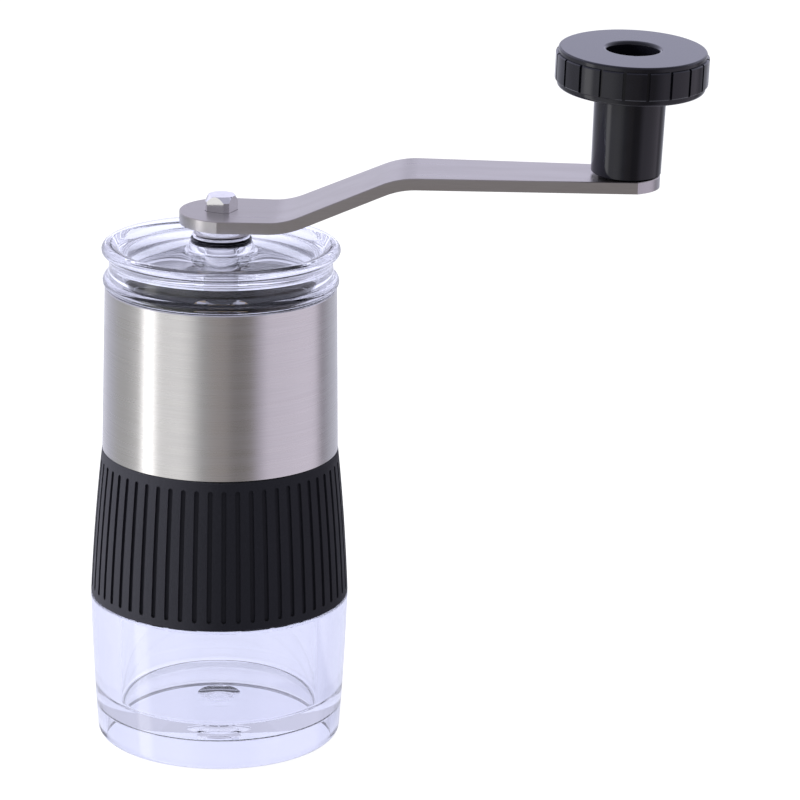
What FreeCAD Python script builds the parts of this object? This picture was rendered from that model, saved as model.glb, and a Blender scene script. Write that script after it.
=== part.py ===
import FreeCAD, Part
import math
import os

# A hand cranked coffee grinder, modelled as the real one is put together. Millimetres, +Z up. The
# origin is the centre of the cup's base, on the surface it stands on. The crank arm points to +X.
V = FreeCAD.Vector
UP = V(0, 0, 1)
CENTRE = V(0, 0, 0)

# Heights of the outer shell, from the surface up
cup_top = 36.2
band_bottom = 36.4
band_top = 73.2
sleeve_bottom = 73.3
sleeve_top = 113.9
lid_top = 124.3

# Radii of the outer shell
cup_base_radius = 29.95
cup_wall_radius = 31.0
cup_top_radius = 31.6
band_bottom_radius = 31.57
band_waist_radius = 30.47
band_top_radius = 28.83
sleeve_bottom_radius = 28.7
sleeve_top_radius = 28.0
sleeve_wall = 0.5
lid_low_bead_radius = 28.5
lid_high_bead_radius = 28.72
lid_neck_radius = 27.0
lid_boss_top = 124.8
lid_hole_radius = 4.3
lid_recess_radius = 6.65
lid_recess_depth = 0.45

# Catch cup
cup_floor_top = 10.4
cup_floor_under = 7.2
cup_recess_radius = 27.0
cup_inner_low = 24.0
cup_inner_high = 24.3
cup_neck_radius = 26.6
cup_neck_top = 46.0

# Ribbed grip band
groove_count = 56
groove_width = 1.15
groove_depth = 0.6
groove_top = 70.9
groove_bottom = 38.4

# Lower housing and what it holds
skirt_bottom = 36.7
skirt_bottom_radius = 29.3
skirt_top_radius = 26.8
mouth_radius = 27.0
web_bottom = 47.5
web_top = 50.0
chamber_bore = 19.05
chamber_radius = 21.6
burr_seat = 67.0
throat_radius = 15.0
throat_top = 74.0
hub_radius = 7.6
spider_arm_width = 3.2
spider_arm_height = 4.0
lower_hub_bottom = 70.0
lower_hub_top = 78.0
upper_hub_bottom = 95.0
upper_hub_top = 103.0
bridge_bottom = 97.0
spider_turns = (90, 210, 330)

# Drive shaft
shaft_radius = 3.98
running_gap = 0.05
square_bottom = 125.92
shaft_top = 136.4
square_across = 6.5
square_corner_radius = 3.95
square_turn = -23.0
square_gap = 0.09
head_disc_radius = 3.25
head_chamfer = 1.45
burr_stem_radius = 3.5
burr_stem_across = 5.6
burr_stem_bottom = 48.4
burr_stem_top = 70.0
thread_radius = 3.0
shaft_bottom = 37.2
bush_radius = 6.0
clip_groove_radius = 2.9
clip_thickness = 0.8

# Conical burr set
burr_top = 66.0
burr_fine_top = 58.5
burr_bottom = 52.0
inner_radii = (8.6, 12.6, 16.2)
outer_radii = (14.6, 14.2, 16.6)
coarse_teeth = 8
fine_teeth = 32
coarse_depth = 1.6
fine_depth = 0.6
coarse_twist = 40.0
fine_twist = 14.0
spring_seat = 61.0

# Burr holder, its screws and the adjusting nut
holder_bore = 17.0
holder_radius = 24.2
holder_bottom = 45.3
screw_circle = 21.4
screw_radius = 1.25
screw_turns = (30, 150, 270)
nut_radius = 10.0
nut_bottom = 42.0
nut_top = 50.5
nut_lobes = 12

# Crank arm, an S-bent strip
arm_top_low = 132.55
arm_top_high = 144.06
arm_thickness = 2.85
arm_slope = 23.2
arm_bend_radius = 20.0
arm_rise_middle = 29.3
arm_half_width_hub = 12.1
arm_half_width_knob = 8.85
hub_end_radius = 12.35
hub_end_centre = 2.25
knob_end_radius = 9.8
knob_end_centre = 94.8
crank_length = 96.4

# Knob, built upright over the arm's end and then leaned with its rivet
knob_axis = V(crank_length, 0, 0)
knob_lean = V(0.024, -0.053, 1)
knob_bottom = 144.68
foot_washer_radius = 6.6
foot_washer_top = 144.7
post_bottom_radius = 8.36
post_top_radius = 8.56
post_top = 164.7
cap_bottom = 165.5
cap_top = 174.9
cap_radius = 17.6
pad_radius = 18.15
pad_count = 20
pad_angle = 15.6
pad_start = 12.5
pad_bottom = 167.0
pad_top = 173.65
knob_hole_radius = 6.2
knob_hole_bottom = 156.0
pin_radius = 3.0
pin_sink_radius = 4.3
pin_sink_depth = 1.2


def outline(steps):
    """Closed edges in the XZ plane. A step is a corner (r, z), or an arc as (middle, end)."""
    first = V(steps[0][0], 0, steps[0][1])
    here = first
    edges = []
    for step in steps[1:]:
        if isinstance(step[0], tuple):
            middle = V(step[0][0], 0, step[0][1])
            there = V(step[1][0], 0, step[1][1])
            edges.append(Part.Arc(here, middle, there).toShape())
        else:
            there = V(step[0], 0, step[1])
            edges.append(Part.LineSegment(here, there).toShape())
        here = there
    if (here - first).Length > 1e-6:
        edges.append(Part.LineSegment(here, first).toShape())
    return Part.Wire(edges)


def turned(*steps):
    """Solid of revolution about the Z axis."""
    return Part.Face(outline(steps)).revolve(CENTRE, UP, 360)


def disc(radius, bottom, top, centre=CENTRE):
    return Part.makeCylinder(radius, top - bottom, V(centre.x, centre.y, bottom))


def ring(outer, inner, bottom, top, centre=CENTRE):
    return disc(outer, bottom, top, centre).cut(disc(inner, bottom - 1, top + 1, centre))


def block(x0, x1, y0, y1, z0, z1):
    return Part.makeBox(x1 - x0, y1 - y0, z1 - z0, V(x0, y0, z0))


def spun(shape, angle, centre=CENTRE):
    copy = shape.copy()
    copy.rotate(centre, UP, angle)
    return copy


def around(shape, angles, centre=CENTRE):
    """Copies of a shape turned about the vertical line through centre, as one compound."""
    return Part.makeCompound([spun(shape, angle, centre) for angle in angles])


def even(count):
    return [360.0 * i / count for i in range(count)]


def between(value, low, high, at_low, at_high):
    """Straight-line value between two heights."""
    return at_low + (at_high - at_low) * (value - low) / (high - low)


def sleeve_radius(z):
    return between(z, sleeve_bottom, sleeve_top, sleeve_bottom_radius, sleeve_top_radius)


def skirt_radius(z):
    return between(z, skirt_bottom, sleeve_bottom, skirt_bottom_radius, skirt_top_radius)


def square_bar(across, corner_radius, bottom, top):
    """Round bar with four flats, turned as the shaft's head stands."""
    half = across / 2
    bar = block(-half, half, -half, half, bottom, top)
    return spun(bar.common(disc(corner_radius, bottom, top)), square_turn)


def double_d(radius, across, bottom, top):
    """Round bar with two flats."""
    half = across / 2
    return disc(radius, bottom, top).common(block(-radius, radius, -half, half, bottom, top))


def catch_cup():
    """Clear cup: thick tapered wall, thick floor over a hollow foot, stepped neck for the housing."""
    foot = 1.6
    rim = 0.5
    inner_round = 1.3
    gate_radius = 3.6
    gate_depth = 1.7
    dimple_radius = 5.2
    dimple_depth = 0.7
    recess_round = 0.6
    recess = cup_recess_radius - 0.2
    return turned(
        (0, cup_floor_under + gate_depth),
        (gate_radius - 0.2, cup_floor_under + gate_depth),
        (gate_radius, cup_floor_under + gate_depth - 0.2),
        (gate_radius, cup_floor_under),
        (recess - recess_round, cup_floor_under),
        ((recess - 0.29 * recess_round, cup_floor_under - 0.29 * recess_round),
         (recess, cup_floor_under - recess_round)),
        (cup_recess_radius, 0.5),
        ((cup_recess_radius + 0.1, 0.15), (cup_recess_radius + 0.4, 0)),
        (cup_base_radius - foot, 0),
        ((cup_base_radius - 0.47, 0.47), (cup_base_radius, foot)),
        ((cup_wall_radius, 18.9), (cup_top_radius, cup_top - rim)),
        ((cup_top_radius - 0.29 * rim, cup_top - 0.29 * rim), (cup_top_radius - rim, cup_top)),
        (cup_neck_radius, cup_top),
        (cup_neck_radius, cup_neck_top - 0.6),
        (cup_neck_radius - 0.6, cup_neck_top),
        (cup_inner_high + 0.4, cup_neck_top),
        (cup_inner_high, cup_neck_top - 0.4),
        (cup_inner_high, cup_top),
        (cup_inner_low, cup_floor_top + inner_round),
        ((cup_inner_low - 0.29 * inner_round, cup_floor_top + 0.29 * inner_round),
         (cup_inner_low - inner_round, cup_floor_top)),
        (dimple_radius, cup_floor_top),
        ((dimple_radius * 0.7, cup_floor_top - 0.72 * dimple_depth),
         (dimple_radius * 0.35, cup_floor_top - dimple_depth)),
        (0, cup_floor_top - dimple_depth),
    )


def cup_gasket():
    return ring(cup_neck_radius, cup_inner_high + 0.6, cup_neck_top + 0.3, web_bottom)


def grip_band():
    """Rubber band on the skirt, with grooves that stop short of both edges."""
    edge = 0.5
    fit = 0.04
    band = turned(
        (skirt_radius(band_bottom) + fit, band_bottom),
        (band_bottom_radius - edge, band_bottom),
        ((band_bottom_radius - 0.1, band_bottom + 0.12), (band_bottom_radius, band_bottom + edge)),
        ((band_waist_radius, 55.0), (band_top_radius, band_top - edge)),
        ((band_top_radius - 0.16, band_top - 0.14), (band_top_radius - edge, band_top)),
        (skirt_radius(band_top) + fit, band_top),
    )
    reach = 2.0
    ring_of_air = turned(
        (band_bottom_radius + reach, band_bottom),
        (band_bottom_radius - groove_depth, band_bottom),
        ((band_waist_radius - groove_depth, 55.0), (band_top_radius - groove_depth, band_top)),
        (band_top_radius + reach, band_top),
    )
    half = groove_width / 2
    slot = block(band_top_radius - 3, band_bottom_radius + 3, -half, half,
                 groove_bottom + half, groove_top - half)
    for z in (groove_bottom + half, groove_top - half):
        end = Part.makeCylinder(half, 8, V(band_top_radius - 3, 0, z), V(1, 0, 0))
        slot = slot.fuse(end)
    groove = slot.common(ring_of_air)
    return band.cut(around(groove, even(groove_count)))


def body_sleeve():
    """Thin steel tube with a slight taper and a softened top edge."""
    top = sleeve_top_radius
    bottom = sleeve_bottom_radius
    return turned(
        (bottom - sleeve_wall, sleeve_bottom),
        (bottom, sleeve_bottom),
        (top, sleeve_top - 0.2),
        ((top - 0.06, sleeve_top - 0.06), (top - 0.2, sleeve_top)),
        (top - sleeve_wall, sleeve_top),
    )


def spider_arms(inner, outer, bottom):
    half = spider_arm_width / 2
    return around(block(inner, outer, -half, half, bottom, bottom + spider_arm_height), spider_turns)


def lower_housing():
    """Black moulding: skirt for the cup, web, burr chamber, throat and lower bearing spider."""
    inside = 2.1
    body = turned(
        (mouth_radius, skirt_bottom),
        (skirt_bottom_radius, skirt_bottom),
        (skirt_top_radius, sleeve_bottom),
        (skirt_top_radius - 1.6, sleeve_bottom),
        (skirt_radius(web_top + 3) - inside, web_top + 3),
        (skirt_radius(web_top + 3) - inside, web_top),
        (chamber_radius, web_top),
        (chamber_radius, burr_seat + 0.5),
        (chamber_radius - 2, burr_seat + 2.5),
        (throat_radius + 2.5, burr_seat + 2.5),
        (throat_radius + 2.5, throat_top),
        (throat_radius, throat_top),
        (throat_radius, burr_seat),
        (chamber_bore, burr_seat),
        (chamber_bore, web_bottom),
        (mouth_radius, web_bottom),
    )
    boss = disc(2.7, web_bottom, web_bottom + 9.5, V(screw_circle, 0, 0))
    boss = boss.cut(disc(chamber_bore, web_bottom - 1, burr_seat))
    arms = spider_arms(hub_radius - 1, throat_radius + 1, lower_hub_bottom)
    hub = disc(hub_radius, lower_hub_bottom, lower_hub_top)
    body = body.multiFuse([around(boss, screw_turns), arms, hub]).removeSplitter()
    body = body.cut(disc(bush_radius + 0.01, lower_hub_bottom - 1, lower_hub_top + 1))
    hole = disc(screw_radius + 0.02, web_bottom - 1, web_bottom + 8, V(screw_circle, 0, 0))
    return body.cut(around(hole, screw_turns))


def hopper():
    """Black moulding inside the sleeve: bean tube, spider ledge, funnel and locating spigot."""
    gap = 0.05
    return turned(
        (sleeve_radius(sleeve_bottom) - sleeve_wall - gap, sleeve_bottom + 0.1),
        (sleeve_radius(sleeve_top) - sleeve_wall - gap, sleeve_top - 0.4),
        (26.5, sleeve_top - 0.4),
        (26.15, sleeve_top - 0.8),
        (26.15, bridge_bottom),
        (25.4, bridge_bottom),
        (25.4, 87.5),
        (throat_radius + 0.2, throat_top + 2),
        (throat_radius + 0.2, throat_top + 0.1),
        (throat_radius + 2.5, throat_top + 0.1),
        (throat_radius + 2.5, throat_top + 1.2),
        (23.6, 82.0),
        (23.6, 70.0),
        (25.1, 70.0),
        (25.1, sleeve_bottom + 0.1),
    )


def upper_spider():
    """Three-armed bridge that holds the upper bush across the bean tube."""
    rim = ring(26.1, 24.2, bridge_bottom, bridge_bottom + spider_arm_height)
    arms = spider_arms(hub_radius - 1, 25.0, bridge_bottom)
    hub = disc(hub_radius, upper_hub_bottom, upper_hub_top)
    whole = rim.multiFuse([arms, hub]).removeSplitter()
    return whole.cut(disc(bush_radius + 0.01, upper_hub_bottom - 1, upper_hub_top + 1))


def upper_bush():
    body = disc(bush_radius, upper_hub_bottom, upper_hub_top)
    flange = disc(bush_radius + 1, upper_hub_top, upper_hub_top + 1)
    bore = disc(shaft_radius + running_gap, upper_hub_bottom - 1, upper_hub_top + 2)
    return body.fuse(flange).removeSplitter().cut(bore)


def lower_bush():
    body = disc(bush_radius, lower_hub_bottom, lower_hub_top)
    flange = disc(bush_radius + 1, lower_hub_bottom - 0.8, lower_hub_bottom)
    bore = disc(shaft_radius + running_gap, lower_hub_bottom - 2, lower_hub_top + 1)
    return body.fuse(flange).removeSplitter().cut(bore)


def open_clip(outer, inner, bottom, turn):
    """Spring clip that pushes into a groove from the side."""
    clip = ring(outer, inner, bottom, bottom + clip_thickness)
    mouth = block(0, outer + 1, -inner * 0.72, inner * 0.72, bottom - 1, bottom + 2)
    notch = disc(outer * 0.2, bottom - 1, bottom + 2, V(-outer, 0, 0))
    notches = around(notch, (-55, 0, 55))
    return spun(clip.cut(mouth).cut(notches), turn)


def shaft_clip():
    return open_clip(6.2, clip_groove_radius + 0.1, upper_hub_top + 1.15, 150)


def end_clip():
    return open_clip(5.2, clip_groove_radius - 0.6, 38.7, 40)


def drive_shaft():
    """Steel rod: square head, bearing length, flats for the burr and a threaded tail."""
    groove = upper_hub_top + 1.1
    round_part = disc(shaft_radius, burr_stem_top, square_bottom)
    round_part = round_part.cut(ring(5, clip_groove_radius, groove, groove + clip_thickness + 0.1))
    bar = square_bar(square_across, square_corner_radius, square_bottom, shaft_top)
    edge = 0.08
    cone = turned(
        (0, square_bottom),
        (square_corner_radius, square_bottom),
        (square_corner_radius, shaft_top - head_chamfer),
        (head_disc_radius, shaft_top - edge),
        (head_disc_radius - edge, shaft_top),
        (0, shaft_top),
    )
    head = bar.common(cone)
    stem = double_d(burr_stem_radius, burr_stem_across, burr_stem_bottom, burr_stem_top)
    tail = turned(
        (0, shaft_bottom),
        (thread_radius - 0.5, shaft_bottom),
        (thread_radius, shaft_bottom + 0.5),
        (thread_radius, 38.65),
        (thread_radius - 0.8, 38.65),
        (thread_radius - 0.8, 39.55),
        (thread_radius, 39.55),
        (thread_radius, burr_stem_bottom),
        (0, burr_stem_bottom),
    )
    return round_part.multiFuse([head, stem, tail]).removeSplitter()


def toothed_wire(radius, depth, teeth, turn, z):
    """Saw-tooth ring of straight flanks, each tooth with one steep and one gentle side."""
    points = []
    for i in range(teeth):
        for share, reach in ((0.0, radius - depth), (0.72, radius)):
            angle = math.radians(360.0 * (i + share) / teeth + turn)
            points.append(V(reach * math.cos(angle), reach * math.sin(angle), z))
    return Part.makePolygon(points + [points[0]])


def toothed_cone(z0, z1, radius0, radius1, depth0, depth1, teeth, twist, spans):
    """Ruled solid through saw-tooth rings that grow and turn from z0 to z1."""
    wires = []
    for i in range(spans + 1):
        share = i / spans
        z = between(share, 0, 1, z0, z1)
        radius = between(share, 0, 1, radius0, radius1)
        depth = between(share, 0, 1, depth0, depth1)
        wires.append(toothed_wire(radius, depth, teeth, twist * share, z))
    return Part.makeLoft(wires, True, True)


def inner_burr():
    """Ceramic cone: coarse helical teeth above, fine grinding teeth below."""
    top_radius, middle_radius, bottom_radius = inner_radii
    coarse = toothed_cone(burr_fine_top, burr_top, middle_radius, top_radius,
                          coarse_depth, coarse_depth, coarse_teeth, coarse_twist, 3)
    fine = toothed_cone(burr_bottom, burr_fine_top, bottom_radius, middle_radius,
                        fine_depth, fine_depth, fine_teeth, fine_twist, 2)
    cone = coarse.fuse(fine)
    bore = double_d(burr_stem_radius + running_gap, burr_stem_across + 2 * running_gap,
                    burr_bottom - 1, spring_seat + 1)
    pocket = disc(6.3, spring_seat, burr_top + 1)
    return cone.cut(bore).cut(pocket)


def outer_burr():
    """Ceramic ring with the matching teeth in its bore."""
    top_radius, middle_radius, bottom_radius = outer_radii
    body = disc(chamber_bore - 0.05, burr_bottom, burr_seat)
    coarse = toothed_cone(burr_fine_top, burr_seat, middle_radius + coarse_depth, top_radius + coarse_depth,
                          coarse_depth, coarse_depth, coarse_teeth, -coarse_twist, 3)
    fine = toothed_cone(burr_bottom, burr_fine_top, bottom_radius + fine_depth, middle_radius + fine_depth,
                        fine_depth, fine_depth, fine_teeth, -fine_twist, 2)
    return body.cut(coarse.fuse(fine))


def burr_holder():
    """Black ring that carries the outer burr in the chamber, with three screw holes."""
    holder = turned(
        (holder_bore, holder_bottom + 0.6),
        (holder_bore + 0.6, holder_bottom),
        (holder_radius - 0.6, holder_bottom),
        (holder_radius, holder_bottom + 0.6),
        (holder_radius, web_bottom - 0.1),
        (chamber_bore - 0.1, web_bottom - 0.1),
        (chamber_bore - 0.1, burr_bottom - 0.05),
        (holder_bore, burr_bottom - 0.05),
    )
    hole = disc(screw_radius + 0.15, holder_bottom - 1, web_bottom + 1, V(screw_circle, 0, 0))
    bite = disc(1.0, web_bottom - 0.2, burr_bottom + 1, V(screw_circle - 1.5, 0, 0))
    return holder.cut(around(hole.fuse(bite), screw_turns))


def holder_screws():
    """Three pan head screws with cross slots."""
    head_radius = 2.1
    head_bottom = holder_bottom - 1.5
    head = turned(
        (0, head_bottom),
        (1.2, head_bottom),
        ((1.85, head_bottom + 0.25), (head_radius, head_bottom + 0.9)),
        (head_radius, holder_bottom),
        (screw_radius, holder_bottom),
        (screw_radius, web_bottom + 6.5),
        (0, web_bottom + 7.3),
    )
    slot = block(-1.2, 1.2, -0.22, 0.22, head_bottom - 1, head_bottom + 0.8)
    head = head.cut(slot).cut(spun(slot, 90))
    head.translate(V(screw_circle, 0, 0))
    return around(head, screw_turns)


def burr_spring():
    """Compression spring between the lower bush and the inner burr, laid through half-turn arcs."""
    wire = 0.45
    coil = 5.1
    turns = 5
    bottom = spring_seat + running_gap + wire
    top = lower_hub_bottom - 0.8 - running_gap - wire
    rise = (top - bottom) / turns
    edges = []
    for half_turn in range(2 * turns):
        side = 1 if half_turn % 2 == 0 else -1
        z = bottom + rise * half_turn / 2
        edges.append(Part.Arc(V(side * coil, 0, z), V(0, side * coil, z + rise / 4),
                              V(-side * coil, 0, z + rise / 2)).toShape())
    section = Part.Wire([Part.makeCircle(wire, V(coil, 0, bottom), V(0, 1, 0))])
    return Part.Wire(edges).makePipeShell([section], True, False)


def click_plate():
    """Notched steel washer, keyed on the shaft's flats, that the adjusting nut clicks on."""
    bottom = nut_top + 0.1
    plate = disc(7.5, bottom, burr_bottom - 0.05)
    plate = plate.cut(double_d(burr_stem_radius + running_gap, burr_stem_across + 2 * running_gap,
                               bottom - 1, burr_bottom + 1))
    notch = Part.makeCylinder(0.55, 4, V(4.6, 0, bottom), V(1, 0, 0))
    return plate.cut(around(notch, even(8)))


def adjusting_nut():
    """Scalloped nut under the inner burr: turning it lowers or raises the burr."""
    grip_top = nut_bottom + 5
    nut = turned(
        (thread_radius + running_gap, nut_bottom),
        (nut_radius - 0.8, nut_bottom),
        (nut_radius, nut_bottom + 0.8),
        (nut_radius, grip_top - 0.8),
        (nut_radius - 0.8, grip_top),
        (6.8, grip_top),
        (6.8, nut_top - 0.4),
        (6.4, nut_top),
        (thread_radius + 0.7, nut_top),
        (thread_radius + 0.7, burr_stem_bottom - 0.3),
        (thread_radius + running_gap, burr_stem_bottom - 0.3),
    )
    scallop = disc(1.7, nut_bottom - 1, grip_top + 0.01, V(nut_radius + 0.75, 0, 0))
    return nut.cut(around(scallop, even(nut_lobes)))


def lid():
    """Clear lid: two beads with a waist between, dished top, central boss and a plug below."""
    seat = sleeve_top + 0.15
    plug_bottom = 108.0
    plug_radius = 25.3
    plug_bore = 23.4
    return turned(
        (plug_bore, plug_bottom),
        (plug_radius - 0.5, plug_bottom),
        (plug_radius, plug_bottom + 0.5),
        (plug_radius, 109.6),
        (plug_radius - 0.5, 109.6),
        (plug_radius - 0.5, 111.0),
        (plug_radius, 111.0),
        (plug_radius, seat),
        (27.3, seat),
        ((lid_low_bead_radius, seat + 1.4), (27.5, seat + 2.6)),
        ((lid_neck_radius, 119.3), (27.5, 121.9)),
        ((lid_high_bead_radius, 123.3), (27.7, 124.15)),
        ((26.2, lid_top), (24.6, 123.45)),
        (23.7, 122.45),
        (8.9, 122.8),
        ((8.35, 123.0), (8.15, 123.5)),
        (7.75, 124.5),
        (7.45, lid_boss_top),
        (lid_recess_radius, lid_boss_top),
        (lid_recess_radius, lid_boss_top - lid_recess_depth),
        (lid_hole_radius, lid_boss_top - lid_recess_depth),
        (lid_hole_radius, 120.6),
        (22.4, 120.6),
        ((23.6, 120.1), (24.1, 118.9)),
        (24.1, 115.5),
        (plug_bore, 114.0),
    )


def lid_bush():
    """Black bush let into the lid's boss: the shaft runs in it and the arm's washer rests on it."""
    bore = shaft_radius + 0.07
    low = lid_boss_top + 0.05
    bead = 7.4
    waist = bead - 0.2
    foot_radius = lid_recess_radius - 0.05
    foot_bottom = lid_boss_top - lid_recess_depth + 0.03
    return turned(
        (bore, foot_bottom),
        (foot_radius, foot_bottom),
        (foot_radius, low),
        (waist, low),
        (bead, low + 0.2),
        (bead, low + 0.45),
        (waist, low + 0.55),
        (bead, low + 0.65),
        (bead, low + 0.85),
        (waist, low + 1.05),
        (bore, low + 1.05),
    )


def lid_seal():
    """Rubber ring in the plug's groove."""
    return turned(
        (24.85, 109.65),
        (25.3, 109.65),
        ((25.75, 110.3), (25.3, 110.95)),
        (24.85, 110.95),
    )


def arm_washer():
    """Wide bright washer between the lid's bush and the collar."""
    washer = turned(
        (0, 125.95),
        (6.7, 125.95),
        (6.9, 126.15),
        (6.9, 126.75),
        (6.65, 127.0),
        (0, 127.0),
    )
    return washer.cut(drive_hole(125, 128))


def arm_collar():
    """Turned collar staked under the arm."""
    under = arm_top_low - arm_thickness
    collar = turned(
        (0, 127.0),
        (6.0, 127.0),
        (6.0, under - 1.2),
        ((5.75, under - 0.9), (6.0, under - 0.6)),
        (6.0, under),
        (0, under),
    )
    return collar.cut(drive_hole(126, under + 1))


def drive_hole(bottom, top):
    return square_bar(square_across + 2 * square_gap, square_corner_radius + square_gap, bottom, top)


def strip_face():
    """Side view of the S-bent strip: two concentric bends, as a closed outline in XZ."""
    slope = math.radians(arm_slope)
    half = arm_thickness / 2
    low = arm_top_low - half
    high = arm_top_high - half
    run = (high - low) / math.tan(slope)
    tangent = arm_bend_radius * math.tan(slope / 2)
    bend_low = V(arm_rise_middle - run / 2 - tangent, 0, low + arm_bend_radius)
    bend_high = V(arm_rise_middle + run / 2 + tangent, 0, high - arm_bend_radius)

    def on_low(radius, angle):
        return (bend_low.x + radius * math.sin(angle), bend_low.z - radius * math.cos(angle))

    def on_high(radius, angle):
        return (bend_high.x - radius * math.sin(angle), bend_high.z + radius * math.cos(angle))

    left = -20.0
    right = crank_length + 20
    inner = arm_bend_radius - half
    outer = arm_bend_radius + half
    return outline([
        (left, low - half),
        on_low(outer, 0),
        (on_low(outer, slope / 2), on_low(outer, slope)),
        on_high(inner, slope),
        (on_high(inner, slope / 2), on_high(inner, 0)),
        (right, high - half),
        (right, high + half),
        on_high(outer, 0),
        (on_high(outer, slope / 2), on_high(outer, slope)),
        on_low(inner, slope),
        (on_low(inner, slope / 2), on_low(inner, 0)),
        (left, low + half),
    ])


def arm_plan():
    """Plan outline of the arm: tapered sides and two ground ends that meet them in soft corners."""
    def half_width(x):
        return between(x, 0, crank_length, arm_half_width_hub, arm_half_width_knob)

    def corner(centre, radius, side):
        x = centre
        for _ in range(6):
            x = centre + side * math.sqrt(radius ** 2 - half_width(x) ** 2)
        return x

    x_hub = corner(hub_end_centre, hub_end_radius, -1)
    x_knob = corner(knob_end_centre, knob_end_radius, 1)
    hub_front = V(x_hub, -half_width(x_hub), 0)
    hub_back = V(x_hub, half_width(x_hub), 0)
    knob_front = V(x_knob, -half_width(x_knob), 0)
    knob_back = V(x_knob, half_width(x_knob), 0)
    edges = [
        Part.LineSegment(hub_front, knob_front).toShape(),
        Part.Arc(knob_front, V(knob_end_centre + knob_end_radius, 0, 0), knob_back).toShape(),
        Part.LineSegment(knob_back, hub_back).toShape(),
        Part.Arc(hub_back, V(hub_end_centre - hub_end_radius, 0, 0), hub_front).toShape(),
    ]
    return Part.Face(Part.Wire(edges))


def upper_rim(solid):
    """Edges between the faces that look up and the upright sides."""
    rim = []
    for edge in solid.Edges:
        middle = edge.valueAt((edge.FirstParameter + edge.LastParameter) / 2)
        tilts = []
        for face in solid.ancestorsOfType(edge, Part.Face):
            tilts.append(face.normalAt(*face.Surface.parameter(middle)).z)
        if len(tilts) == 2 and max(tilts) > 0.5 and min(abs(tilt) for tilt in tilts) < 0.02:
            rim.append(edge)
    return rim


def crank_arm():
    """Flat steel strip, bent twice, with a square hole for the shaft and a hole for the pin."""
    width = 40.0
    edge_break = 0.15
    side = Part.Face(strip_face())
    side.translate(V(0, -width / 2, 0))
    strip = side.extrude(V(0, width, 0))
    plan = arm_plan()
    plan.translate(V(0, 0, 120))
    arm = strip.common(plan.extrude(V(0, 0, 40)))
    arm = arm.makeChamfer(edge_break, upper_rim(arm))
    arm = arm.cut(drive_hole(120, 140))
    return arm.cut(at_knob(pin_shank(arm_top_high + 1)))


def at_knob(shape):
    """Moves a shape made over the origin to the arm's end and leans it as the rivet stands."""
    lean = math.degrees(UP.getAngle(knob_lean))
    shape.translate(knob_axis)
    shape.rotate(V(crank_length, 0, arm_top_high), UP.cross(knob_lean), lean)
    return shape


def pin_shank(top):
    """Upright rivet shank with a flared foot that reaches past the arm's underside."""
    low = arm_top_high - arm_thickness
    spare = 0.5
    flare = (pin_sink_radius - pin_radius) / pin_sink_depth
    return turned(
        (0, low - spare),
        (pin_sink_radius + flare * spare, low - spare),
        (pin_radius, low + pin_sink_depth),
        (pin_radius, top),
        (0, top),
    )


def knob_pin():
    """Rivet in the arm's end: the knob turns on it, and its head lies deep in the knob."""
    head_radius = 5.2
    head_bottom = knob_hole_bottom + 1.1
    head = turned(
        (0, head_bottom),
        (head_radius, head_bottom),
        (head_radius, head_bottom + 1.2),
        ((4.2, head_bottom + 2.1), (1.6, head_bottom + 2.7)),
        (0, head_bottom + 2.7),
    )
    pin = at_knob(pin_shank(head_bottom + 1).fuse(head).removeSplitter())
    low = arm_top_high - arm_thickness
    return pin.cut(disc(pin_sink_radius * 2, low - 3, low, knob_axis))


def foot_washer():
    """Washer that the knob turns on: it lies flat on the arm, inside the post's foot."""
    return ring(foot_washer_radius, pin_radius + 0.1, arm_top_high, foot_washer_top, knob_axis)


def pin_washer():
    low = knob_hole_bottom + 0.1
    return at_knob(ring(5.8, pin_radius + running_gap, low, low + 0.9))


def knob_post():
    """Black post: slight taper, bored for the rivet, with a wide bore above its shoulder."""
    spigot_bore = 7.3
    socket_top = foot_washer_top + 0.5
    socket_radius = foot_washer_radius + 0.12
    return at_knob(turned(
        (pin_radius + 0.08, socket_top),
        (socket_radius, socket_top),
        (socket_radius, knob_bottom),
        (post_bottom_radius - 0.2, knob_bottom),
        (post_bottom_radius, knob_bottom + 0.2),
        (post_top_radius, post_top - 0.3),
        (post_top_radius - 0.3, post_top),
        (spigot_bore + 0.35, post_top),
        (spigot_bore + 0.35, cap_bottom),
        (spigot_bore, cap_bottom),
        (spigot_bore, 160.0),
        (knob_hole_radius, 160.0),
        (knob_hole_radius, knob_hole_bottom),
        (pin_radius + 0.08, knob_hole_bottom),
    ))


def knob_cap():
    """Wide disc with a rim of raised pads, ribbed hollow underside and a rounded open centre."""
    edge = 0.5
    lip = 0.9
    web = 171.3
    bevel = 0.25
    disc_body = turned(
        (knob_hole_radius, 160.1),
        (7.25, 160.1),
        (7.25, cap_bottom),
        (9.6, cap_bottom),
        (9.6, web),
        (14.9, web),
        (15.2, cap_bottom),
        (cap_radius - 0.7, cap_bottom),
        ((cap_radius - 0.2, cap_bottom + 0.2), (cap_radius, cap_bottom + 0.7)),
        (cap_radius, cap_top - edge),
        ((cap_radius - 0.29 * edge, cap_top - 0.29 * edge), (cap_radius - edge, cap_top)),
        (knob_hole_radius + lip, cap_top),
        ((knob_hole_radius + 0.29 * lip, cap_top - 0.29 * lip), (knob_hole_radius, cap_top - lip)),
    )
    section = Part.Face(outline([
        (cap_radius - 1, pad_bottom),
        (pad_radius - bevel, pad_bottom),
        (pad_radius, pad_bottom + bevel),
        (pad_radius, pad_top - bevel),
        (pad_radius - bevel, pad_top),
        (cap_radius - 1, pad_top),
    ]))
    pad = spun(section.revolve(CENTRE, UP, pad_angle), pad_start)
    rib = block(9.2, 15.4, -0.7, 0.7, cap_bottom + 0.8, web + 0.5)
    ribs = around(rib, even(6))
    return at_knob(disc_body.multiFuse([around(pad, even(pad_count)), ribs]).removeSplitter())


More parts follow.
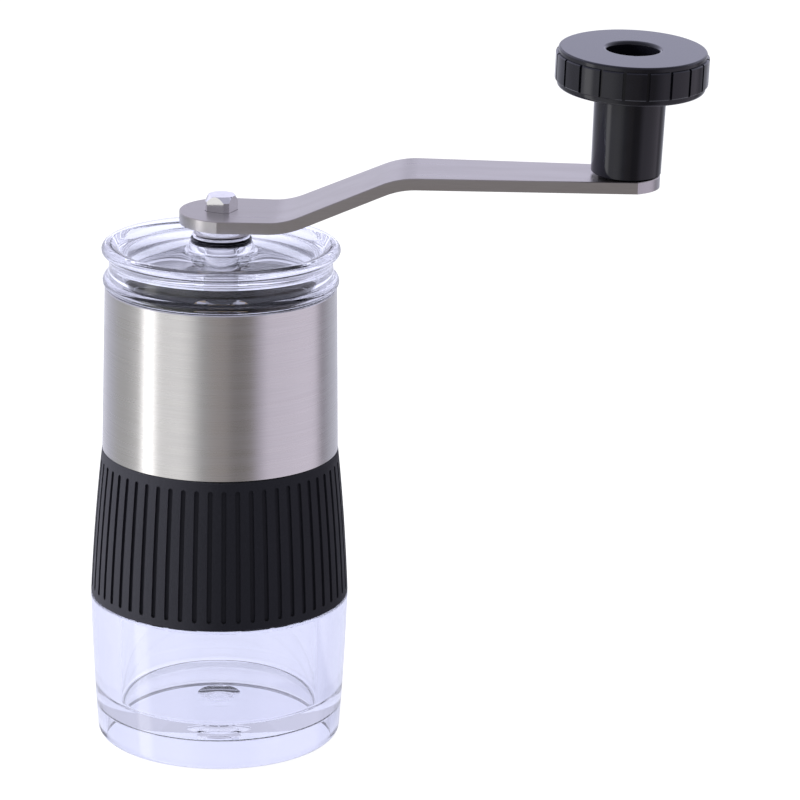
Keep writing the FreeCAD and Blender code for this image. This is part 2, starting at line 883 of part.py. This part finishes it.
SUBPARTS = {
    "catch_cup": catch_cup,
    "cup_gasket": cup_gasket,
    "lower_housing": lower_housing,
    "grip_band": grip_band,
    "body_sleeve": body_sleeve,
    "hopper": hopper,
    "upper_spider": upper_spider,
    "upper_bush": upper_bush,
    "lower_bush": lower_bush,
    "drive_shaft": drive_shaft,
    "shaft_clip": shaft_clip,
    "end_clip": end_clip,
    "inner_burr": inner_burr,
    "outer_burr": outer_burr,
    "burr_holder": burr_holder,
    "holder_screws": holder_screws,
    "burr_spring": burr_spring,
    "click_plate": click_plate,
    "adjusting_nut": adjusting_nut,
    "lid": lid,
    "lid_bush": lid_bush,
    "lid_seal": lid_seal,
    "arm_washer": arm_washer,
    "arm_collar": arm_collar,
    "crank_arm": crank_arm,
    "knob_pin": knob_pin,
    "foot_washer": foot_washer,
    "pin_washer": pin_washer,
    "knob_post": knob_post,
    "knob_cap": knob_cap,
}

os.makedirs("parts", exist_ok=True)
for name, make in SUBPARTS.items():
    shape = make()
    shape.exportStep("parts/" + name + ".step")
    print(name, "valid", shape.isValid(), "solids", len(shape.Solids), "volume", round(shape.Volume, 1))
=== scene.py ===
"""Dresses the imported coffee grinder: its finishes, a pale studio and the photograph's camera."""
import math

import bpy
from mathutils import Euler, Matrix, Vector

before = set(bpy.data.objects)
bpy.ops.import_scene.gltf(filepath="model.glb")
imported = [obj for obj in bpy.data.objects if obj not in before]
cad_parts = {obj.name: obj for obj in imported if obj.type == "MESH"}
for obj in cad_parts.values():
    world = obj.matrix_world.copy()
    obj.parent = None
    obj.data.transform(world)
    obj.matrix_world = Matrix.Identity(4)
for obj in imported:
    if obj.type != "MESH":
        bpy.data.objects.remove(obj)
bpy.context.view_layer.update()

# Camera, in metres and radians: a long lens a little above the arm, aimed right of the body's axis and
# slightly rolled, standing CRANK_TURN round from straight in front of the crank
CAMERA_DISTANCE = 0.9736
CAMERA_TARGET_HEIGHT = 0.0854
CAMERA_PITCH = 0.2966
CAMERA_ROLL = 0.0187
CAMERA_YAW = 0.0469
CRANK_TURN = 0.0799
LENS_MM = 180.0
SENSOR_MM = 36.0
CLIP_START = 0.05
CLIP_END = 50.0

# Light that runs on inside the clear parts' walls and floor takes many bounces
CLEAR_BOUNCES = 24

# Floor: white where the camera sees it straight. To all other rays it glows lavender as painted light,
# with a painted pool of light under the cup where its shadow falls, dimmer near it and brightest far off;
# it passes from under to near and from near to far between these distances from the axis. It lies just
# under the cup's foot.
FLOOR_HALF = 6.0
FLOOR_DROP = 0.0002
FLOOR_TONE = (0.10, 0.10, 0.105, 1.0)
FLOOR_ROUGHNESS = 0.8
FLOOR_WHITE = (0.97, 0.97, 0.97, 1.0)
FLOOR_UNDER = (0.76, 0.785, 1.03, 1.0)
FLOOR_NEAR = (0.575, 0.60, 0.81, 1.0)
FLOOR_FAR = (0.98, 1.01, 1.28, 1.0)
UNDER_TO_NEAR = (0.028, 0.045)
NEAR_TO_FAR = (0.12, 0.32)

# World as the camera sees it, as it is seen through the clear parts and as it lights matt faces
BACKDROP_WHITE = (1.05, 1.05, 1.05, 1.0)
BACKDROP_LAVENDER = (0.88, 0.905, 1.12, 1.0)
FILL_TINT = (0.97, 0.97, 1.0)
FILL_LEVEL = 0.75

# World as it is mirrored inside the clear parts, from level directions up to the height INSIDE_TOP
INSIDE_LOW = (0.30, 0.30, 0.40, 1.0)
INSIDE_HIGH = (0.86, 0.88, 1.12, 1.0)
INSIDE_TOP = 0.7

# World as it is mirrored outside: walls, which pass into sky between the heights of HORIZON. The sky has
# its front share of the level in directions that lean to the camera's side by SKY_LEAN or more, and its
# back share in those that lean as far away.
HORIZON = (0.05, 0.2)
SKY_TINT = (0.78, 0.78, 1.0)
SKY_LEVEL = 1.55
SKY_LEAN = 0.35
SKY_FRONT_SHARE = 0.45
SKY_BACK_SHARE = 1.0

# Small dark card behind the object that the lid's flat mirrors: its brightness, and its angles in degrees
CARD_LEVEL = 0.20
CARD_ELEVATION = 15
CARD_RADIUS = 1.8
CARD_FADE_RADIUS = 2.6

# The studio's walls: the angle from the camera's direction in degrees, positive to its right, and the
# brightness and the tint there
PLAIN, WARM, MAUVE, COOL = (1, 1, 1), (1.05, 0.97, 0.93), (1.03, 0.96, 1.12), (0.98, 0.99, 1.14)
WALLS = (
    (-180, 0.82, COOL), (-168, 0.9, COOL), (-136, 0.64, COOL), (-118, 0.54, PLAIN), (-104, 0.56, PLAIN),
    (-92, 0.72, PLAIN), (-85, 0.8, PLAIN), (-80, 2.6, PLAIN), (-71, 2.6, PLAIN), (-65, 0.98, PLAIN),
    (-44, 1.16, PLAIN), (-36, 1.13, PLAIN), (-27, 0.86, PLAIN), (-18, 0.47, PLAIN), (-6, 0.40, WARM),
    (6, 0.36, WARM), (12, 0.24, WARM), (22, 0.24, WARM), (30, 0.28, WARM), (38, 0.55, MAUVE),
    (47, 0.85, MAUVE), (90, 0.90, MAUVE), (106, 0.90, MAUVE), (118, 0.34, MAUVE), (138, 0.60, COOL),
    (180, 0.82, COOL),
)
BRIGHTEST_WALL = 3.0

# Lamps, both aimed at the body's middle; the side one stands at its angle from the camera's direction
LAMP_AIM = (0.02, 0, 0.09)
SIDE_ANGLE = -88
SIDE_DISTANCE = 0.8
SIDE_HEIGHT = 0.12
SIDE_SIZE = (0.10, 1.1)
SIDE_WATTS = 52.0
TOP_PLACE = (0.0, -0.1, 1.3)
TOP_SIZE = (1.4, 1.4)
TOP_WATTS = 6.0

# Most of a noise lies in this range
NOISE_RANGE = (0.3, 0.7)

# A mix node's colour sockets share their names with those of its other kinds, so they go by number
MIX_FACTOR, MIX_LOW, MIX_HIGH, MIX_RESULT = 0, 6, 7, 2


class Graph:
    """Node tree of a material or the world. A source is a constant or another node's output."""

    def __init__(self, owner, shader):
        owner.use_nodes = True
        self.owner = owner
        self.tree = owner.node_tree
        self.shader = self.tree.nodes[shader]

    def feed(self, node, sources):
        """Feeds a node's inputs, which go by name or number."""
        for key, source in sources.items():
            if isinstance(source, bpy.types.NodeSocket):
                self.tree.links.new(source, node.inputs[key])
            else:
                node.inputs[key].default_value = source

    def shade(self, sources):
        """Feeds the shader's inputs."""
        self.feed(self.shader, sources)

    def add(self, kind, sources=None, **settings):
        """Adds a node, sets its properties and feeds its inputs."""
        node = self.tree.nodes.new(kind)
        for name, value in settings.items():
            setattr(node, name, value)
        self.feed(node, sources or {})
        return node

    def ranged(self, value, start, end, low=0.0, high=1.0):
        """Maps start to end onto low to high and holds the value beyond them."""
        ends = {"Value": value, "From Min": start, "From Max": end, "To Min": low, "To Max": high}
        return self.add("ShaderNodeMapRange", ends).outputs["Result"]

    def mixed(self, factor, low, high):
        """Mixes two colours."""
        colours = {MIX_FACTOR: factor, MIX_LOW: low, MIX_HIGH: high}
        return self.add("ShaderNodeMix", colours, data_type="RGBA").outputs[MIX_RESULT]

    def number(self, operation, *sources):
        """Works out one number from others."""
        return self.add("ShaderNodeMath", dict(enumerate(sources)), operation=operation).outputs[0]

    def dot(self, first, second):
        """Dot product of two directions."""
        node = self.add("ShaderNodeVectorMath", {0: first, 1: second}, operation="DOT_PRODUCT")
        return node.outputs["Value"]

    def times(self, colour, level):
        """Colour at a level, which may pass 1."""
        node = self.add("ShaderNodeVectorMath", {0: colour, "Scale": level}, operation="SCALE")
        return node.outputs["Vector"]

    def noise(self, scale, detail=2.0, roughness=0.5, stretch=(1, 1, 1)):
        """Noise over the object's own coordinates, scaled along each by stretch."""
        where = self.add("ShaderNodeTexCoord").outputs["Object"]
        stretched = self.add("ShaderNodeMapping", {"Scale": stretch, "Vector": where}).outputs["Vector"]
        sources = {"Vector": stretched, "Scale": scale, "Detail": detail, "Roughness": roughness}
        return self.add("ShaderNodeTexNoise", sources).outputs["Fac"]

    def spread(self, noise, low, high):
        """Spreads a noise over low to high."""
        return self.ranged(noise, *NOISE_RANGE, low, high)

    def facing_up(self, start, end, low=0.0, high=1.0):
        """Passes from low to high as the height of the face's normal goes from start to end."""
        normal = self.add("ShaderNodeTexCoord").outputs["Normal"]
        height = self.add("ShaderNodeSeparateXYZ", {0: normal}).outputs["Z"]
        return self.ranged(height, start, end, low, high)

    def relief(self, marks, strength, depth):
        """Raises the marks on the shader's surface."""
        sources = {"Height": marks, "Strength": strength, "Distance": depth}
        self.shade({"Normal": self.add("ShaderNodeBump", sources).outputs["Normal"]})


def new_material(name, constants):
    """Graph of a new material, with the constants set on its shader."""
    graph = Graph(bpy.data.materials.new(name), "Principled BSDF")
    graph.shade(constants)
    return graph


def clear_plastic():
    """Clear, polished plastic."""
    graph = new_material("clear_plastic", {"Transmission Weight": 1.0, "IOR": 1.49})
    cloud = graph.noise(scale=60.0)
    colour = graph.mixed(cloud, low=(0.975, 0.978, 0.99, 1), high=(0.99, 0.99, 1.0, 1))
    roughness = graph.spread(cloud, low=0.0, high=0.004)
    graph.shade({"Base Color": colour, "Roughness": roughness})
    return graph.owner


def brushed_round():
    """Steel brushed round the sleeve: fine level lines, highlight drawn out along the height."""
    constants = {"Metallic": 1.0, "Anisotropic": 0.75, "Anisotropic Rotation": 0.25}
    graph = new_material("brushed_round", constants)
    lines = graph.noise(scale=5.0, detail=3.0, roughness=0.7, stretch=(8, 8, 1400))
    broad = graph.noise(scale=4.0, stretch=(4, 4, 160))
    colour = graph.mixed(lines, low=(0.50, 0.485, 0.475, 1), high=(0.66, 0.65, 0.645, 1))
    around = graph.add("ShaderNodeTangent", direction_type="RADIAL", axis="Z").outputs["Tangent"]
    roughness = graph.spread(broad, low=0.24, high=0.30)
    graph.shade({"Base Color": colour, "Roughness": roughness, "Tangent": around})
    graph.relief(lines, strength=0.08, depth=0.00002)
    return graph.owner


def brushed_flat():
    """Steel brushed along the arm; its upper faces take a darker, browner copy of its colour than its cut
    edges, as painted shade.
    """
    graph = new_material("brushed_flat", {"Metallic": 1.0})
    lines = graph.noise(scale=5.0, detail=3.0, roughness=0.7, stretch=(14, 900, 500))
    broad = graph.noise(scale=3.0, stretch=(10, 60, 60))
    edge = graph.mixed(lines, low=(0.37, 0.355, 0.36, 1), high=(0.46, 0.445, 0.455, 1))
    shaded_top = graph.mixed(lines, low=(0.275, 0.25, 0.225, 1), high=(0.345, 0.32, 0.295, 1))
    # Painted shade: upward faces get the darker, browner steel colour and the cut edges the paler one
    colour = graph.mixed(graph.facing_up(start=0.3, end=0.7), edge, shaded_top)
    roughness = graph.spread(broad, low=0.27, high=0.33)
    graph.shade({"Base Color": colour, "Roughness": roughness})
    graph.relief(lines, strength=0.12, depth=0.00002)
    return graph.owner


def bright_steel():
    """Polished steel whose level upper faces are turned and less smooth."""
    graph = new_material("bright_steel", {"Metallic": 1.0})
    marks = graph.noise(scale=700.0, detail=3.0, roughness=0.6, stretch=(1, 1, 6))
    colour = graph.mixed(marks, low=(0.66, 0.65, 0.65, 1), high=(0.78, 0.775, 0.78, 1))
    polished = graph.spread(marks, low=0.07, high=0.14)
    turned = graph.spread(marks, low=0.28, high=0.38)
    roughness = graph.facing_up(start=0.8, end=0.95, low=polished, high=turned)
    graph.shade({"Base Color": colour, "Roughness": roughness})
    graph.relief(marks, strength=0.05, depth=0.00002)
    return graph.owner


def gloss_black():
    """Black plastic, polished."""
    graph = new_material("gloss_black", {"IOR": 1.38})
    flow = graph.noise(scale=220.0, detail=3.0)
    colour = graph.mixed(flow, low=(0.002, 0.002, 0.0032, 1), high=(0.0045, 0.0045, 0.0068, 1))
    roughness = graph.spread(flow, low=0.08, high=0.13)
    graph.shade({"Base Color": colour, "Roughness": roughness})
    graph.relief(flow, strength=0.03, depth=0.00003)
    return graph.owner


def satin_black():
    """Black mouldings, satin."""
    graph = new_material("satin_black", {"IOR": 1.12})
    grain = graph.noise(scale=900.0, detail=3.0)
    colour = graph.mixed(grain, low=(0.004, 0.004, 0.005, 1), high=(0.008, 0.008, 0.010, 1))
    roughness = graph.spread(grain, low=0.40, high=0.55)
    graph.shade({"Base Color": colour, "Roughness": roughness})
    graph.relief(grain, strength=0.06, depth=0.00005)
    return graph.owner


def grip_rubber():
    """Matt rubber with a fine grain."""
    graph = new_material("grip_rubber", {"IOR": 1.15})
    grain = graph.noise(scale=2600.0, detail=3.0, roughness=0.7)
    cloud = graph.noise(scale=90.0)
    colour = graph.mixed(grain, low=(0.009, 0.009, 0.011, 1), high=(0.019, 0.019, 0.023, 1))
    roughness = graph.spread(cloud, low=0.42, high=0.56)
    graph.shade({"Base Color": colour, "Roughness": roughness})
    graph.relief(grain, strength=0.35, depth=0.00008)
    return graph.owner


def ceramic():
    """Fired burrs, unglazed."""
    graph = new_material("ceramic", {})
    grain = graph.noise(scale=1500.0, detail=3.0)
    colour = graph.mixed(grain, low=(0.80, 0.78, 0.74, 1), high=(0.90, 0.89, 0.86, 1))
    roughness = graph.spread(grain, low=0.38, high=0.5)
    graph.shade({"Base Color": colour, "Roughness": roughness})
    graph.relief(grain, strength=0.12, depth=0.00004)
    return graph.owner


def bronze():
    """Turned bushes."""
    graph = new_material("bronze", {"Metallic": 1.0})
    grain = graph.noise(scale=200.0, detail=3.0, stretch=(1, 1, 30))
    colour = graph.mixed(grain, low=(0.45, 0.33, 0.16, 1), high=(0.62, 0.49, 0.27, 1))
    roughness = graph.spread(grain, low=0.28, high=0.40)
    graph.shade({"Base Color": colour, "Roughness": roughness})
    return graph.owner


# What each finish is on; all other nodes are bright steel
WORN_BY = {
    clear_plastic: ("catch_cup", "lid"),
    brushed_round: ("body_sleeve",),
    brushed_flat: ("crank_arm",),
    grip_rubber: ("grip_band", "cup_gasket", "lid_seal"),
    gloss_black: ("knob_cap", "knob_post", "lid_bush", "foot_washer"),
    satin_black: ("lower_housing", "hopper", "upper_spider", "burr_holder", "adjusting_nut"),
    ceramic: ("inner_burr", "outer_burr"),
    bronze: ("upper_bush", "lower_bush"),
}


def dress_frame():
    """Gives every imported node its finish."""
    finishes = {}
    for make, names in WORN_BY.items():
        finishes.update(dict.fromkeys(names, make()))
    steel = bright_steel()
    for name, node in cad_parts.items():
        node.data.materials.clear()
        node.data.materials.append(finishes.get(name, steel))


def floor():
    """Pale floor that runs far behind the object and isn't mirrored; its glow is painted light, brighter
    under the cup and far off.
    """
    constants = {"Base Color": FLOOR_TONE, "Roughness": FLOOR_ROUGHNESS, "Specular IOR Level": 0.0}
    graph = new_material("floor", constants)
    where = graph.add("ShaderNodeTexCoord").outputs["Object"]
    reach = graph.add("ShaderNodeVectorMath", {0: where}, operation="LENGTH").outputs["Value"]
    # Painted light: the glow is brighter under the cup, over its shadow, dimmer near it and brightest far
    # off
    near = graph.mixed(graph.ranged(reach, *UNDER_TO_NEAR), FLOOR_UNDER, FLOOR_NEAR)
    lavender = graph.mixed(graph.ranged(reach, *NEAR_TO_FAR), near, FLOOR_FAR)
    is_camera = graph.add("ShaderNodeLightPath").outputs["Is Camera Ray"]
    glow = graph.mixed(is_camera, lavender, FLOOR_WHITE)
    graph.shade({"Emission Color": glow, "Emission Strength": 1.0})
    mesh = bpy.data.meshes.new("floor")
    corners = [(x * FLOOR_HALF, y * FLOOR_HALF, 0) for x, y in ((-1, -1), (1, -1), (1, 1), (-1, 1))]
    mesh.from_pydata(corners, [], [(0, 1, 2, 3)])
    mesh.materials.append(graph.owner)
    plane = bpy.data.objects.new("floor", mesh)
    plane.location.z = -FLOOR_DROP
    plane.visible_glossy = False
    bpy.context.scene.collection.objects.link(plane)


def around_body(angle, distance, height):
    """Point round the body: angle in degrees from the camera's direction, positive to its right."""
    turn = math.radians(angle - 90) + CRANK_TURN
    return (distance * math.cos(turn), distance * math.sin(turn), height)


def toned(tint, level):
    """Colour of a tint at a level."""
    return tuple(part * level for part in tint) + (1.0,)


def wall_light(graph, right, toward):
    """Light of the walls, from how far a direction leans to the camera's right and towards it."""
    turn = graph.number("DIVIDE", graph.number("ARCTAN2", right, toward), 2 * math.pi)
    ramp = graph.add("ShaderNodeValToRGB", {0: graph.number("ADD", turn, 0.5)})
    stops = ramp.color_ramp.elements
    while len(stops) < len(WALLS):
        stops.new(0.5)
    # Stops sort themselves as they are placed, so their colours wait for all places
    for stop, (angle, _, _) in zip(stops, WALLS):
        stop.position = angle / 360 + 0.5
    for stop, (_, level, tint) in zip(stops, WALLS):
        stop.color = toned(tint, level / BRIGHTEST_WALL)
    return graph.times(ramp.outputs["Color"], BRIGHTEST_WALL)


def mirrored_outside(graph, way):
    """Walls, and above them a sky that is dimmer on the camera's side."""
    toward = graph.dot(way, around_body(0, 1, 0))
    right = graph.dot(way, around_body(90, 1, 0))
    share = graph.ranged(toward, SKY_LEAN, -SKY_LEAN, SKY_FRONT_SHARE, SKY_BACK_SHARE)
    sky = graph.times(toned(SKY_TINT, SKY_LEVEL)[:3], share)
    above = graph.ranged(graph.dot(way, (0, 0, 1)), *HORIZON)
    return graph.mixed(above, wall_light(graph, right, toward), sky)


def mirrored_inside(graph, way):
    """Lavender, from dim to pale with the direction's height."""
    climb = graph.ranged(graph.dot(way, (0, 0, 1)), 0.0, INSIDE_TOP)
    return graph.mixed(climb, INSIDE_LOW, INSIDE_HIGH)


def card_share(graph, way):
    """1 in directions that meet the dark card and 0 in those that pass it."""
    rise = math.radians(CARD_ELEVATION)
    closeness = graph.dot(way, around_body(180, math.cos(rise), math.sin(rise)))
    rim = math.cos(math.radians(CARD_FADE_RADIUS))
    return graph.ranged(closeness, rim, math.cos(math.radians(CARD_RADIUS)))


def studio():
    """World: plain where it is seen, even where it lights matt faces, and walls, sky and a dark card
    where it is mirrored."""
    world = bpy.data.worlds.new("studio")
    bpy.context.scene.world = world
    graph = Graph(world, "Background")
    way = graph.add("ShaderNodeTexCoord").outputs["Generated"]
    rays = graph.add("ShaderNodeLightPath").outputs
    is_mirrored = graph.number("MINIMUM", rays["Glossy Depth"], 1.0)
    is_inside = graph.number("MINIMUM", rays["Transmission Depth"], 1.0)
    room = graph.mixed(is_inside, mirrored_outside(graph, way), mirrored_inside(graph, way))
    mirrored = graph.mixed(card_share(graph, way), room, toned(SKY_TINT, CARD_LEVEL))
    seen = graph.mixed(rays["Is Camera Ray"], BACKDROP_LAVENDER, BACKDROP_WHITE)
    lit = graph.mixed(rays["Is Diffuse Ray"], seen, toned(FILL_TINT, FILL_LEVEL))
    graph.shade({"Color": graph.mixed(is_mirrored, lit, mirrored)})


def soft_lamp(name, stands, size, watts):
    """Area lamp that lights matt faces and is itself not seen, mirrored or refracted."""
    data = bpy.data.lights.new(name, "AREA")
    data.shape = "RECTANGLE"
    data.size, data.size_y = size
    data.energy = watts
    lamp = bpy.data.objects.new(name, data)
    lamp.location = stands
    lamp.rotation_euler = (Vector(LAMP_AIM) - Vector(stands)).to_track_quat("-Z", "Y").to_euler()
    lamp.visible_glossy = False
    lamp.visible_transmission = False
    lamp.visible_camera = False
    bpy.context.scene.collection.objects.link(lamp)


def lights():
    """Tall strip at the body's left and a wide soft lamp above."""
    soft_lamp("strip_left", around_body(SIDE_ANGLE, SIDE_DISTANCE, SIDE_HEIGHT), SIDE_SIZE, SIDE_WATTS)
    soft_lamp("top_soft", TOP_PLACE, TOP_SIZE, TOP_WATTS)


def camera():
    """Camera at the photograph's viewing angle."""
    data = bpy.data.cameras.new("camera")
    data.lens = LENS_MM
    data.sensor_width = SENSOR_MM
    data.clip_start = CLIP_START
    data.clip_end = CLIP_END
    eye = bpy.data.objects.new("camera", data)
    level = CAMERA_DISTANCE * math.cos(CAMERA_PITCH)
    rise = CAMERA_DISTANCE * math.sin(CAMERA_PITCH)
    eye.location = around_body(0, level, CAMERA_TARGET_HEIGHT + rise)
    heading = Euler((0, 0, CRANK_TURN - CAMERA_YAW)).to_matrix()
    tilt = Euler((math.pi / 2 - CAMERA_PITCH, 0, 0)).to_matrix()
    roll = Euler((0, 0, CAMERA_ROLL)).to_matrix()
    eye.rotation_euler = (heading @ tilt @ roll).to_euler()
    bpy.context.scene.collection.objects.link(eye)
    bpy.context.scene.camera = eye


dress_frame()
floor()
studio()
lights()
camera()
bpy.context.scene.cycles.max_bounces = CLEAR_BOUNCES
bpy.context.scene.cycles.glossy_bounces = CLEAR_BOUNCES
bpy.context.scene.cycles.transmission_bounces = CLEAR_BOUNCES
bpy.context.scene.view_settings.view_transform = "Standard"
